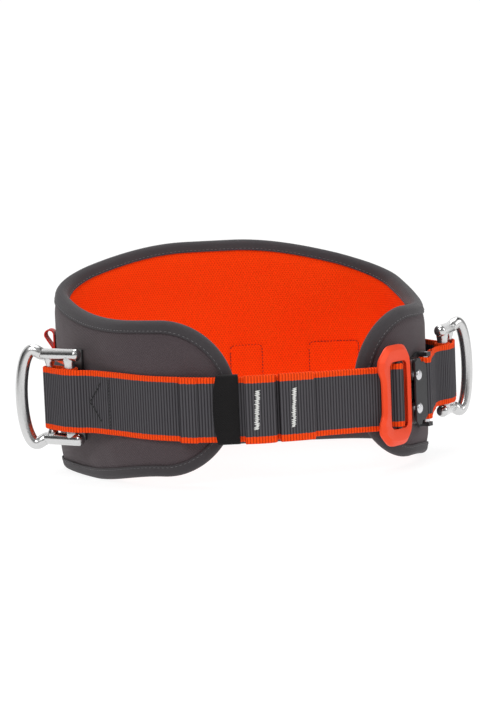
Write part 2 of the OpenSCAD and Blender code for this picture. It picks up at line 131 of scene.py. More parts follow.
def on_pad(s, z, d):
    """A point of the pad: the place at |s| on the chain, moved d across the heading, mirrored in
    the middle plane where s is negative."""
    x, y, heading = walk(PAD_START, PAD_ARCS, np.abs(s))
    side = np.where(np.asarray(s) < 0, -1.0, 1.0)
    across, along = side * (x + d * np.sin(heading)), y - d * np.cos(heading)
    return coords(across, along, z)


def strap_plan(a, d=0.0):
    """A plan point of the front strap, a from its end at the buckle and d outside its middle."""
    x, y, heading = walk(STRAP_START, STRAP_ARCS, a)
    return coords(x - d * np.sin(heading), y + d * np.cos(heading))


def web_height(y):
    """The webbing climbs a little towards the back: 0.068 mm for each mm of y."""
    return RING_Z + CLIMB * (np.asarray(y) - 0.5)


def ease(t):
    """The smooth step 3t2 - 2t3, held at 0 and 1 outside its range."""
    t = np.clip(t, 0, 1)
    return t * t * (3 - 2 * t)


print("the strap's fold is near", strap_plan(STRAP_FOLD).round(1))

# %% [markdown]
# The pad's outline is tall at the back and falls in an S to the wings, whose ends are half ellipses.
# Unrolled flat it is one closed curve in s and z. A shape that has to follow the edge, such as the
# binding, needs that curve at even steps, with its inward normal.

# %% The pad's outline, unrolled
WING_TOP, WING_FOOT, BACK_TOP, PAD_END, ROUND = 116.5, 6.5, 164.5, 363.0, 56.0
PAD_THICK = 12.0
ROUND_AT, HALF, MIDDLE = PAD_END - ROUND, (WING_TOP - WING_FOOT) / 2, (WING_TOP + WING_FOOT) / 2


def edges_at(s, inset):
    """Upper and lower edge at s, inset by some mm: eased curves along the body, and an ellipse with
    its two half axes shortened by the inset at the ends."""
    s = np.abs(s)
    top = WING_TOP + (BACK_TOP - WING_TOP) * (1 - ease((s - 20) / 265)) ** 1.2 - inset
    foot = WING_FOOT * ease((s - 230) / 75) + inset
    along = np.clip((s - ROUND_AT) / (ROUND - inset), 0, 1)
    rise = (HALF - inset) * np.sqrt(1 - along ** 2)
    return np.where(s > ROUND_AT, MIDDLE + rise, top), np.where(s > ROUND_AT, MIDDLE - rise, foot)


def unit(rows):
    """Each row divided by its own length."""
    return rows / np.linalg.norm(rows, axis=-1, keepdims=True)


def length_so_far(line):
    """How far along a line each point is: the running sum of the steps between neighbours."""
    return np.concatenate([[0], np.cumsum(np.linalg.norm(np.diff(line, axis=0), axis=1))])


def even(points, step, closed=False):
    """The same line with its points one even step apart, found by its length so far."""
    line = np.vstack([points, points[:1]]) if closed else points
    far = length_so_far(line)
    count = max(2, int(round(far[-1] / step)))
    want = np.linspace(0, far[-1], count + 1)[:-1 if closed else None]
    return np.stack([np.interp(want, far, line[:, k]) for k in range(line.shape[1])], -1), want


round_end = ROUND_AT + ROUND * np.sin(np.linspace(0.01, np.pi / 2, 90))
half_s = np.concatenate([np.linspace(0, ROUND_AT, 320), round_end])
full_s = np.concatenate([-half_s[:0:-1], half_s])
upper_edge, lower_edge = (coords(full_s, z) for z in edges_at(full_s, 0.0))
outline, outline_far = even(np.vstack([upper_edge, lower_edge[-2:0:-1]]), 2.0, True)


def smooth_closed(values, times):
    """Averages each value of a closed line with its two neighbours, a number of times."""
    for _ in range(times):
        values = (np.roll(values, 1, 0) + 2 * values + np.roll(values, -1, 0)) / 4
    return values


# The steps between points flicker a little where curves meet, so they are averaged first.
tangent = unit(smooth_closed(np.roll(outline, -1, 0) - np.roll(outline, 1, 0), 6))
inward = coords(tangent[:, 1], -tangent[:, 0])
print("outline", len(outline), "points,", round(float(outline_far[-1]) + 2), "mm round")

# %% [markdown]
# ## From grids to closed skins
# A piece is a grid of points: rows are cross-sections and each row goes once round its section.
# Joining neighbours gives four-sided faces. Where the ends are open they are closed by pairing each
# point with the one across from it. Each point also carries its place on the cloth, along and
# across, so that a weave can follow a strap round its bends.

# %% Skin a grid
MM = 0.001


def skin(name, rows, cloth=None, closed=False, sharp=None):
    """Closed mesh over a grid of points in mm, shaped (rows, round) or (batch, rows, round). The
    signed volume, the sum of the corner products of every face, says whether it is inside out."""
    rows = np.asarray(rows, float)
    rows = rows[None] if rows.ndim == 3 else rows
    batch, n, m, _ = rows.shape
    index = np.arange(batch * n * m).reshape(batch, n, m)
    ring = np.concatenate([index, index[:, :1]], 1) if closed else index
    ring = np.concatenate([ring, ring[:, :, :1]], 2)
    corners = [ring[:, :-1, :-1], ring[:, 1:, :-1], ring[:, 1:, 1:], ring[:, :-1, 1:]]
    faces = np.stack(corners, -1).reshape(-1, 4)
    if not closed:
        k = np.arange(m // 2 - 1)
        pair = coords(k, k + 1, m - 2 - k, m - 1 - k)
        caps = index[:, 0][:, pair], index[:, -1][:, pair[:, ::-1]]
        faces = np.vstack([faces, *(cap.reshape(-1, 4) for cap in caps)])
    points = rows.reshape(-1, 3) * MM
    a, b, c, d = (points[faces[:, k]] for k in range(4))
    volume = (np.cross(a, b) * c).sum() + (np.cross(a, c) * d).sum()
    faces = faces[:, ::-1] if volume < 0 else faces
    mesh = bpy.data.meshes.new(name)
    mesh.vertices.add(len(points))
    mesh.vertices.foreach_set("co", points.ravel())
    mesh.loops.add(faces.size)
    mesh.loops.foreach_set("vertex_index", faces.ravel())
    mesh.polygons.add(len(faces))
    mesh.polygons.foreach_set("loop_start", np.arange(len(faces)) * 4)
    mesh.update(calc_edges=True)
    mesh.polygons.foreach_set("use_smooth", np.ones(len(faces), bool))
    if cloth is not None:
        lay = mesh.attributes.new("cloth", "FLOAT_VECTOR", "POINT")
        lay.data.foreach_set("vector", (np.asarray(cloth, float).reshape(-1, 3) * MM).ravel())
    if sharp:
        mesh.set_sharp_from_angle(angle=np.radians(sharp))
    mesh.update()
    piece = bpy.data.objects.new(name, mesh)
    show(piece)
    print(f"{name}: {len(points)} points, {len(faces)} faces")
    return piece


def layer(name, s, v_count, inset, outer, inner, sharp=40):
    """A sheet of the pad: outer and inner face at depths given by functions of s and z, over the
    outline inset by some mm. A row runs up the outer face and down the inner one."""
    top, foot = edges_at(s, inset)
    share = (1 - np.cos(np.linspace(0, np.pi, v_count))) / 2 * 0.5 + np.linspace(0, 1, v_count) * 0.5
    z = foot[:, None] + (top - foot)[:, None] * share
    ss = np.repeat(s[:, None], v_count, 1)
    faces = [on_pad(ss, z, outer(ss, z)), on_pad(ss, z, inner(ss, z))[:, ::-1]]
    lay = coords(ss, z, np.zeros_like(z))
    return skin(name, np.concatenate(faces, 1), np.concatenate([lay, lay[:, ::-1]], 1), sharp=sharp)


# %% [markdown]
# A strap stands on edge, so its line is drawn in plan and its rounded section stands upright on it.
# Real webbing is never quite flat: a slow sway, made of a few waves with fixed seeds, moves it by a
# few tenths of a millimetre.

# %% Ribbons and threads
TURN = 6.28


def sway(along, seed, size):
    """A slow wander: five sine waves of falling height, with seeded lengths and phases."""
    chance = np.random.default_rng(seed)
    lengths, phases = chance.uniform(18, 90, 5), chance.uniform(0, TURN, 5)
    waves = np.sin(np.asarray(along)[..., None] / lengths * TURN + phases) / np.arange(1, 6)
    return size * waves.sum(-1) / 2


WEB_WIDTH, WEB_THICK = 45, 2.1


def ribbon(name, plan, width=WEB_WIDTH, thick=WEB_THICK, z=None, seed=1, wander=0.12, start=0.0,
           thick_at=None):
    """A strap on edge along a plan line: the section is a rounded rectangle, its flat side on the
    line's normal. Height is the webbing's own unless z is given."""
    line, far = even(np.asarray(plan, float), 0.9)
    ahead = unit(np.gradient(line, axis=0))
    normal = coords(ahead[:, 1], -ahead[:, 0])
    height = web_height(line[:, 1]) if z is None else np.full(len(line), float(z))
    corner, r = np.radians([80, 50, 22]), thick / 2
    half = width / 2 - r
    round_z, round_n = r * np.sin(corner), r * np.cos(corner)
    front_z = np.concatenate([half + round_z, np.linspace(half, -half, 13), -half - round_z[::-1]])
    front_n = np.concatenate([round_n, np.full(13, r), round_n[::-1]])
    section_z = np.concatenate([front_z, front_z[::-1]])
    section_n = np.concatenate([front_n, -front_n[::-1]])
    swell = np.ones(len(line)) if thick_at is None else thick_at(far)
    drift = sway(far, seed, wander)
    n = section_n[None] * swell[:, None] + drift[:, None]
    xy = line[:, None] + normal[:, None] * n[..., None]
    zz = height[:, None] + section_z[None] + sway(far, seed + 50, wander)[:, None]
    lay = coords(start + far[:, None], section_z[None], section_n[None])
    return skin(name, np.concatenate([xy, zz[..., None]], -1), lay, sharp=50)


def threads(name, starts, ends, out, radius=0.3, proud=0.6):
    """Stitches as little arched capsules, all worked out at once: a stitch runs from its start to
    its end, rises on a half sine along its length and is thinnest where it dives into the cloth."""
    run = np.linspace(0, 1, 5)
    rise, girth = np.sin(np.pi * run), 0.35 + 0.65 * np.sin(np.pi * run) ** 0.5
    out = unit(out)
    side = np.cross(unit(ends - starts), out)
    around = np.linspace(0, 2 * np.pi, 7)[:-1]
    centre = (starts[:, None] + (ends - starts)[:, None] * run[None, :, None]
              + out[:, None] * (rise * proud * radius)[None, :, None])
    spread = (out[:, None, None] * np.cos(around)[None, None, :, None]
              + side[:, None, None] * np.sin(around)[None, None, :, None])
    rows = centre[:, :, None] + spread * (radius * girth)[None, :, None, None]
    return skin(name, rows)


def seam(name, points, out, pitch=3.0, length=2.2, radius=0.28):
    """A row of stitches along a line on a surface, one each pitch."""
    joined = np.hstack([points, out])
    far = length_so_far(points)
    starts = np.arange(0.3, far[-1] - length, pitch)
    first, last = (np.stack([np.interp(at, far, joined[:, k]) for k in range(6)], -1)
                   for at in (starts, starts + length))
    return threads(name, first[:, :3], last[:, :3], first[:, 3:], radius)


# %% [markdown]
# ## Finishes
# Cloth is convincing when its weave is at the right scale and its colour isn't quite even. The
# effects below are node groups with named sockets. Each takes a place on the cloth and gives back
# only masks and heights, and each material keeps its own shader and mixes the colours itself.

# %% A small vocabulary for nodes


def calc(tree, what, a, b=None, c=None, clamp=False):
    """One Math node: an operation on sockets or plain numbers, giving its output socket."""
    node = tree.nodes.new("ShaderNodeMath")
    node.operation, node.use_clamp = what, clamp
    for socket, value in zip(node.inputs, (a, b, c)):
        if isinstance(value, bpy.types.NodeSocket):
            tree.links.new(value, socket)
        elif value is not None:
            socket.default_value = value
    return node.outputs[0]


def effect(name, inputs, outputs):
    """An empty node group with its named sockets, and the sockets of its two end nodes."""
    tree = bpy.data.node_groups.new(name, "ShaderNodeTree")
    for label, kind, value in inputs:
        socket = tree.interface.new_socket(name=label, in_out="INPUT", socket_type=kind)
        if value is not None:
            socket.default_value = value
    for label in outputs:
        tree.interface.new_socket(name=label, in_out="OUTPUT", socket_type="NodeSocketFloat")
    return tree, tree.nodes.new("NodeGroupInput").outputs, tree.nodes.new("NodeGroupOutput").inputs


def split(tree, vector):
    """The three parts of a vector socket."""
    node = tree.nodes.new("ShaderNodeSeparateXYZ")
    tree.links.new(vector, node.inputs[0])
    return node.outputs


def noise(tree, vector, scale, detail=3.0, rough=0.55):
    """Seedless smooth noise from 0 to 1 at a scale in waves per metre."""
    node = tree.nodes.new("ShaderNodeTexNoise")
    node.inputs["Scale"].default_value, node.inputs["Detail"].default_value = scale, detail
    node.inputs["Roughness"].default_value = rough
    tree.links.new(vector, node.inputs["Vector"])
    return node.outputs["Fac"]


VECTOR, FLOAT = "NodeSocketVector", "NodeSocketFloat"

# %% [markdown]
# Three weaves cover the belt. Plain weave is a chequer of over and under, the product of two sines.
# Load webbing shows cords that run straight across it, with a fine twill riding on them, and a band
# of dyed yarn at each edge. Spacer mesh is a sheet with a close-set pattern of holes.

# %% Plain weave
weave, given, made = effect("plain weave", [("Place", VECTOR, None), ("Pitch", FLOAT, 0.0008)],
                            ["Height", "Mottle"])
x, y, _ = split(weave, given["Place"])
over, under = (
    calc(weave, "SINE", calc(weave, "MULTIPLY", calc(weave, "DIVIDE", part, given["Pitch"]), np.pi))
    for part in (x, y))
crossing = calc(weave, "MULTIPLY", over, under)
weave.links.new(calc(weave, "MULTIPLY_ADD", crossing, 0.5, 0.5), made["Height"])
broad, fine = noise(weave, given["Place"], 28), noise(weave, given["Place"], 420)
cloudy = calc(weave, "MULTIPLY_ADD", broad, 0.6, calc(weave, "MULTIPLY", fine, 0.4))
weave.links.new(cloudy, made["Mottle"])

# %% Ribbed webbing
ribs, given, made = effect("ribbed webbing", [("Place", VECTOR, None), ("Pitch", FLOAT, 0.0021),
                                              ("Half plain", FLOAT, 0.0185)], ["Height", "Edge", "Painted groove shade"])
x, y, _ = split(ribs, given["Place"])
turns = calc(ribs, "MULTIPLY", calc(ribs, "DIVIDE", x, given["Pitch"]), np.pi)
cord_height = calc(ribs, "POWER", calc(ribs, "ABSOLUTE", calc(ribs, "SINE", turns)), 0.85)
slant = calc(ribs, "MULTIPLY_ADD", x, 0.35, y)
twill = calc(ribs, "SINE", calc(ribs, "MULTIPLY", slant, np.pi / 0.00045))
ribs.links.new(calc(ribs, "MULTIPLY_ADD", twill, 0.06, cord_height), made["Height"])
# The groove mask is painted shade: it marks the hollows between the cords for darkening.
ribs.links.new(calc(ribs, "SUBTRACT", 1.0, cord_height), made["Painted groove shade"])
uneven = calc(ribs, "MULTIPLY", calc(ribs, "SUBTRACT", noise(ribs, given["Place"], 900), 0.5), 0.0012)
reach = calc(ribs, "SUBTRACT", calc(ribs, "ADD", calc(ribs, "ABSOLUTE", y), uneven), given["Half plain"])
ribs.links.new(calc(ribs, "MULTIPLY", reach, 4000.0, clamp=True), made["Edge"])

# %% Spacer mesh
holes, given, made = effect("spacer mesh", [("Place", VECTOR, None), ("Pitch", FLOAT, 0.0021)],
                            ["Height", "Hole", "Mottle"])
x, y, _ = split(holes, given["Place"])


def hole_distance(shift):
    """Distance, in pitches, to the nearest hole of one of the two interleaved lattices, whose rows
    stand 1.5 pitches apart: the root of the sum of the two squared offsets."""
    squares = []
    for part, stretch in ((x, 1.0), (y, 1.5)):
        cell = calc(holes, "DIVIDE", part, calc(holes, "MULTIPLY", given["Pitch"], stretch))
        off = calc(holes, "SUBTRACT", calc(holes, "FRACT", calc(holes, "ADD", cell, shift)), 0.5)
        off = calc(holes, "MULTIPLY", off, stretch)
        squares.append(calc(holes, "MULTIPLY", off, off))
    return calc(holes, "SQRT", calc(holes, "ADD", *squares))


nearest = calc(holes, "MINIMUM", hole_distance(0.0), hole_distance(0.5))
hole = calc(holes, "MULTIPLY", calc(holes, "SUBTRACT", 0.34, nearest), 6.0, clamp=True)
holes.links.new(hole, made["Hole"])
holes.links.new(calc(holes, "SUBTRACT", 1.0, hole), made["Height"])
holes.links.new(noise(holes, given["Place"], 35), made["Mottle"])

# %% [markdown]
# Metal needs less. Its colour is even, but handling leaves fine random scratches and smudges that
# only change how rough it is.

# %% Handled metal
handled, given, made = effect("handled metal", [("Place", VECTOR, None), ("Grain", FLOAT, 1.0)],
                              ["Smudge", "Scratch"])
stretch = handled.nodes.new("ShaderNodeMapping")
stretch.inputs["Scale"].default_value = (1, 1, 9)
handled.links.new(given["Place"], stretch.inputs["Vector"])
handled.links.new(noise(handled, given["Place"], 45, 4), made["Smudge"])
scratch = calc(handled, "MULTIPLY", noise(handled, stretch.outputs[0], 900, 2, 0.7), given["Grain"])
handled.links.new(scratch, made["Scratch"])
print("effects:", [g.name for g in bpy.data.node_groups])

# %% A base material


def finish(name, colour, roughness, **constants):
    """A material with its shader, with every constant set on the shader's own socket."""
    material = bpy.data.materials.new(name)
    material.use_nodes = True
    shader = material.node_tree.nodes["Principled BSDF"]
    shader.inputs["Base Color"].default_value = (*colour, 1)
    shader.inputs["Roughness"].default_value = roughness
    for socket, value in constants.items():
        shader.inputs[socket.replace("_", " ")].default_value = value
    return material, material.node_tree, shader


def place_of(tree, attribute):
    """The cloth's own place where the piece carries one, and Object coordinates otherwise."""
    if attribute:
        node = tree.nodes.new("ShaderNodeAttribute")
        node.attribute_name = attribute
        return node.outputs["Vector"]
    return tree.nodes.new("ShaderNodeTexCoord").outputs["Object"]


def use(tree, group, place, **values):
    """Puts an effect in a material and gives it its place and its values."""
    node = tree.nodes.new("ShaderNodeGroup")
    node.node_tree = group
    tree.links.new(place, node.inputs["Place"])
    for socket, value in values.items():
        node.inputs[socket.replace("_", " ")].default_value = value
    return node.outputs


def mix(tree, share, a, b):
    """A colour between two others; a share socket or number says how far."""
    node = tree.nodes.new("ShaderNodeMix")
    node.data_type = "RGBA"
    for socket, value in ((node.inputs[0], share), (node.inputs[6], a), (node.inputs[7], b)):
        if isinstance(value, bpy.types.NodeSocket):
            tree.links.new(value, socket)
        else:
            socket.default_value = value if isinstance(value, float) else (*value, 1)
    return node.outputs[2]


def raise_surface(tree, shader, height, depth, strength=1.0):
    """A Bump node: height in a texture becomes a tilt of the surface, depth in metres."""
    bump = tree.nodes.new("ShaderNodeBump")
    bump.inputs["Strength"].default_value, bump.inputs["Distance"].default_value = strength, depth
    tree.links.new(height, bump.inputs["Height"])
    tree.links.new(bump.outputs[0], shader.inputs["Normal"])


# %% Woven finishes


def woven(name, dark, light, pitch, depth, roughness=0.85, sheen=0.25, attribute="cloth"):
    """Plain-woven cloth: the mottle moves the colour from dark to light, and the weave is raised."""
    material, tree, shader = finish(name, dark, roughness, Sheen_Weight=sheen, Sheen_Roughness=0.5,
                                    Specular_IOR_Level=0.25)
    got = use(tree, weave, place_of(tree, attribute), Pitch=pitch)
    tree.links.new(mix(tree, got["Mottle"], dark, light), shader.inputs["Base Color"])
    raise_surface(tree, shader, got["Height"], depth)
    return material


outer_cloth = woven("outer cloth", (0.05, 0.037, 0.041), (0.086, 0.066, 0.072), 0.0011, 0.00025, sheen=0.12)
binding_cloth = woven("binding cloth", (0.036, 0.032, 0.035), (0.056, 0.05, 0.054), 0.0007, 0.00014,
                      sheen=0.12)
elastic_cloth = woven("elastic", (0.003, 0.0028, 0.003), (0.009, 0.008, 0.0085), 0.0009, 0.0002, sheen=0.03)
foam_finish = woven("foam", (0.05, 0.05, 0.052), (0.09, 0.09, 0.092), 0.0015, 0.0001, sheen=0.0)
red_cloth = woven("red ribbon", (0.55, 0.012, 0.006), (0.8, 0.03, 0.012), 0.0008, 0.00015)
grey_thread, white_thread, dark_thread, rust_thread = (
    woven(f"{name} thread", dark, light, 0.0004, 0.00005, attribute=None) for name, dark, light in (
        ("grey", (0.10, 0.095, 0.1), (0.17, 0.165, 0.17)),
        ("white", (0.62, 0.62, 0.6), (0.85, 0.85, 0.83)),
        ("dark", (0.012, 0.012, 0.013), (0.024, 0.024, 0.026)),
        ("orange", (0.16, 0.006, 0.001), (0.26, 0.012, 0.002))))

webbing_finish, tree, shader = finish("ribbed webbing", (0.07, 0.07, 0.075), 0.8, Specular_IOR_Level=0.15)
got = use(tree, ribs, place_of(tree, "cloth"), Pitch=0.0021, Half_plain=0.0185)
# Painted shade: the grooves between the cords get a much darker colour, on the plain body and on the dyed
# edges.
plain = mix(tree, got["Painted groove shade"], (0.088, 0.084, 0.092), (0.012, 0.011, 0.013))
dyed = mix(tree, got["Painted groove shade"], (1.0, 0.075, 0.004), (0.55, 0.028, 0.001))
tree.links.new(mix(tree, got["Edge"], plain, dyed), shader.inputs["Base Color"])
raise_surface(tree, shader, got["Height"], 0.0005)

lining_finish, tree, shader = finish("spacer mesh", (1.0, 0.06, 0.004), 0.9, Specular_IOR_Level=0.08)
got = use(tree, holes, place_of(tree, "cloth"), Pitch=0.0023)
face = mix(tree, got["Mottle"], (1.0, 0.046, 0.0015), (1.0, 0.062, 0.0025))
shade = calc(tree, "MULTIPLY", got["Hole"], 0.45)
tree.links.new(mix(tree, shade, face, (0.62, 0.022, 0.001)), shader.inputs["Base Color"])
raise_surface(tree, shader, got["Height"], 0.0002)

# %% Metal and plastic finishes


def hard(name, colour, roughness, metallic, spread=0.12, grain=0.00002, second=None, **constants):
    """A hard finish: smudges move the roughness by up to spread, and fine scratches tilt the
    surface by a grain of some hundredths of a millimetre."""
    material, tree, shader = finish(name, colour, roughness, Metallic=metallic, **constants)
    got = use(tree, handled, place_of(tree, None), Grain=1.0)
    rough = calc(tree, "MULTIPLY_ADD", got["Smudge"], spread, roughness - spread / 2)
    tree.links.new(rough, shader.inputs["Roughness"])
    tree.links.new(mix(tree, got["Smudge"], colour, second or colour), shader.inputs["Base Color"])
    raise_surface(tree, shader, got["Scratch"], grain)
    return material


ring_metal = hard("forged aluminium", (0.6, 0.6, 0.6), 0.24, 1.0, second=(0.7, 0.7, 0.7), grain=0.000006)
orange_metal = hard("anodised orange", (0.85, 0.055, 0.013), 0.4, 0.3, second=(0.93, 0.08, 0.02),
                    grain=0.00004, Specular_IOR_Level=0.25)
bright_steel = hard("bright steel", (0.62, 0.62, 0.64), 0.26, 1.0, second=(0.72, 0.72, 0.74))
lever_steel = hard("lever steel", (0.32, 0.32, 0.33), 0.38, 1.0, second=(0.4, 0.4, 0.41), grain=0.00005)
dark_steel = hard("dark steel", (0.03, 0.03, 0.032), 0.4, 0.7, second=(0.055, 0.055, 0.058),
                  grain=0.00004)
black_plastic = hard("black plastic", (0.012, 0.012, 0.013), 0.5, 0.0, second=(0.022, 0.022, 0.024),
                     grain=0.00006)
print("finishes:", len(bpy.data.materials))


def dress(piece, material, body, slot, *stands_for):
    """Gives a piece its finish and its body, and lets it stand for CAD nodes; the slot is not used."""
    piece.data.materials.clear()
    piece.data.materials.append(material)
    if body:
        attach(piece, body)
    if stands_for:
        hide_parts(*stands_for)
    return piece


# %% [markdown]
# ## The pad
# The pad is foam between an outer cloth and an orange spacer mesh. Its faces are flat where they
# work and pull in to the edge, where a tape binds all three. A simulation would lose the thin edge,
# so the faces are given by formula: the depth of a face is a function of how far the place is from
# the outline.

# %% Depth of the pad's faces


def nearest_squared(s, z, line):
    """Square of the distance on the unrolled pad from each place to the nearest point of a line."""
    flat = coords(np.ravel(s), np.ravel(z))
    near = [((block[:, None] - line[None]) ** 2).sum(-1).min(1) for block in np.array_split(flat, 40)]
    return np.concatenate(near).reshape(np.shape(s))


def from_edge(s, z):
    """Distance from the outline: the root of the least square."""
    return np.sqrt(nearest_squared(s, z, outline))


SINK, SINK_REACH = 2.4, 18


def pull_in(m):
    """How far a face sinks m from the edge: SINK at the rim, easing out to nothing at SINK_REACH."""
    return SINK * (1 - ease(m / SINK_REACH))


def ripple(s, z, seed, size):
    """Slight unevenness of cloth over foam: eight seeded plane waves."""
    chance = np.random.default_rng(seed)
    kx, kz, phase = chance.normal(0, 0.11, 8), chance.normal(0, 0.05, 8), chance.uniform(0, TURN, 8)
    return size * sum(np.sin(a * s + b * z + c) for a, b, c in zip(kx, kz, phase)) / 4


# %% Sewn grooves and faces
# The sewn boxes show where the sleeves for the webbing are stitched through: two each side.
BOX_FOOT, BOX_TOP, BOX_ROUND = 41.0, 80, 3
BOXES = [(14, 41), (80.5, 125.5), (-41, -14), (-125.5, -80.5)]
GROOVE_DEPTH, GROOVE_SPREAD = 1.0, 2.2


def box_line(s0, s1):
    """A closed sewn box with corners rounded by quarter circles, from its upper left corner round."""
    turn = np.linspace(0, np.pi / 2, 6)
    rise, run = BOX_ROUND * np.sin(turn), BOX_ROUND * np.cos(turn)
    left = coords(s0 + BOX_ROUND - run, BOX_TOP - BOX_ROUND + rise)
    right = coords(s1 - BOX_ROUND + rise, BOX_TOP - BOX_ROUND + run)
    upper = np.vstack([left, right])
    lower = (upper * [1, -1] + [0, BOX_TOP + BOX_FOOT])[::-1]
    return even(np.vstack([upper, lower]), 1.0, True)[0]


boxes = np.vstack([box_line(*b) for b in BOXES])


def sewn_dip(s, z):
    """A groove along the sewn boxes: its depth falls off as e to minus the squared distance."""
    return GROOVE_DEPTH * np.exp(-nearest_squared(s, z, boxes) / GROOVE_SPREAD)


def outer_depth(s, z):
    """Depth of the outer face: a small clearance, the sinking edge and a ripple."""
    return pull_in(from_edge(s, z)) + 0.25 + ripple(s, z, 3, 0.14)


def inner_depth(s, z):
    """Depth of the inner face: the pad's thickness less the sinking edge and the grooves, with a
    ripple."""
    return PAD_THICK - pull_in(from_edge(s, z)) - 0.1 - sewn_dip(s, z) + ripple(s, z, 5, 0.16)


# %% The three layers


def stations(inset, end_count, body_count):
    """Places round the pad: even along the body, closing up on a sine towards each end."""
    ends = ROUND_AT + (ROUND - inset) * np.sin(np.linspace(0.03, 1.5, end_count))
    return np.concatenate([-ends[::-1], np.linspace(-ROUND_AT, ROUND_AT, body_count), ends])


pad_s, core_s = stations(4.6, 44, 420), stations(5, 24, 160)
outer_cover = layer("outer_cover", pad_s, 64, 4.6, outer_depth, lambda s, z: outer_depth(s, z) + 1.3)
lining = layer("mesh_face", pad_s, 96, 4.6, lambda s, z: inner_depth(s, z) - 1.3, inner_depth)
core = layer("foam_core", core_s, 30, 5.0, lambda s, z: outer_depth(s, z) + 1.35,
             lambda s, z: inner_depth(s, z) - 1.4)
dress(outer_cover, outer_cloth, "belt", "outer_fabric", "outer_shell")
dress(lining, lining_finish, "belt", "spacer_mesh", "mesh_lining")
dress(core, foam_finish, "belt", "foam", "pad_foam")

# %% [markdown]
# The binding is one tape folded over the whole edge. Its section is a lip on each face joined by a
# round nose, and it is carried along the outline: the section's first coordinate is the distance in
# from the edge, its second the depth through the pad.

# %% Edge binding
LIP, NOSE = 8.4, 5.1
bend = np.linspace(0, np.pi, 13)
lip = np.linspace(LIP, NOSE, 6)[:-1]


def tape_side(nose, over):
    """One side of the tape's section: lips at a height over both faces, joined by a half circle."""
    inwards = np.concatenate([lip, NOSE - nose * np.sin(bend), lip[::-1]])
    depth = np.concatenate([pull_in(lip) - over, PAD_THICK / 2 - nose * np.cos(bend),
                            PAD_THICK + over - pull_in(lip[::-1])])
    return np.stack([inwards, depth])


tape_outer, tape_under = tape_side(NOSE, 1.1), tape_side(NOSE - 0.95, 0.12)
section_in, section_d = np.concatenate([tape_outer, tape_under[:, ::-1]], 1)


def beside_edge(inset, depth):
    """Points at a distance in from the outline and a depth, for whole arrays of both."""
    flat = outline[:, None] + inward[:, None] * inset[None, :, None]
    return on_pad(flat[..., 0], flat[..., 1], np.broadcast_to(depth, flat.shape[:2]))


wander = sway(outline_far, 9, 0.25)[:, None]
rows = beside_edge(section_in, section_d[None] + wander * 0.3)
lay = coords(outline_far[:, None], section_in[None], section_d[None])
dress(skin("binding_tape", rows, lay, closed=True, sharp=60), binding_cloth, "belt", "binding_tape",
      "edge_binding")

STITCH_IN, STITCH_OVER = np.array([7.0]), 1.12
for name, depth, out_by in (
        ("binding_stitches_out", pull_in(STITCH_IN[0]) - STITCH_OVER, -1.0),
        ("binding_stitches_in", PAD_THICK + STITCH_OVER - pull_in(STITCH_IN[0]), 1.0)):
    line = beside_edge(STITCH_IN, depth)[:, 0]
    lifted = beside_edge(STITCH_IN, depth + out_by)[:, 0]
    dress(seam(name, line, lifted - line, pitch=3.4, length=1.9, radius=0.22), grey_thread, "belt", None)

# %% Sewn boxes in the lining
for i, b in enumerate(BOXES):
    flat = box_line(*b)
    line = on_pad(flat[:, 0], flat[:, 1], inner_depth(flat[:, 0], flat[:, 1]))
    lifted = on_pad(flat[:, 0], flat[:, 1], inner_depth(flat[:, 0], flat[:, 1]) + 1)
    dress(seam(f"box_stitches_{i}", line, lifted - line, 2.6, 2.45, 0.36), rust_thread, "belt", None)

# %% [markdown]
# ## Load webbing
# One length of ribbed webbing goes round the back and ends in a loop at each ring. Four cloth
# sleeves hold it to the pad.

# %% Back webbing
FOLD, FORWARD, OUTWARD = np.array([159.0, 0.5]), np.array([-0.6, -0.8]), np.array([0.8, -0.6])


def tab_plan(t, n):
    """A plan point beside the right ring: t forward from the fold and n outwards."""
    return FOLD + np.multiply.outer(t, FORWARD) + np.multiply.outer(n, OUTWARD)


def circle_plan(centre, radius, first, last, count=24):
    """Part of a circle in plan between two angles in degrees."""
    angle = np.radians(np.linspace(first, last, count))
    return np.asarray(centre) + radius * coords(np.cos(angle), np.sin(angle))


MIRROR = np.array([-1.0, 1.0])
hinge = tab_plan(24.0, 0.0)
pad_line = on_pad(np.linspace(-205, 205, 300), 0.0, np.full(300, -0.35 - 1.1))[:, :2]
last = pad_line[-1]
bearing = np.degrees(np.arctan2(*(last - hinge)[::-1]))
loop = circle_plan(hinge, 5.2, bearing - 62, bearing - 62 - 300, 40)
back_line = np.vstack([(loop * MIRROR)[::-1], pad_line, loop])
dress(ribbon("back_web", back_line, seed=4), webbing_finish, "belt", "webbing", "back_webbing")

# %% Sleeves
SLEEVE_LIP, SLEEVE_RISE = 0.45, 3.5


def sleeve_rise(z, height):
    """Height of a sleeve off the pad: about 4 mm over the webbing, eased down to its sewn lips."""
    return SLEEVE_LIP + SLEEVE_RISE * (1 - ease((np.abs(z - height) - 21.5) / 6.5))


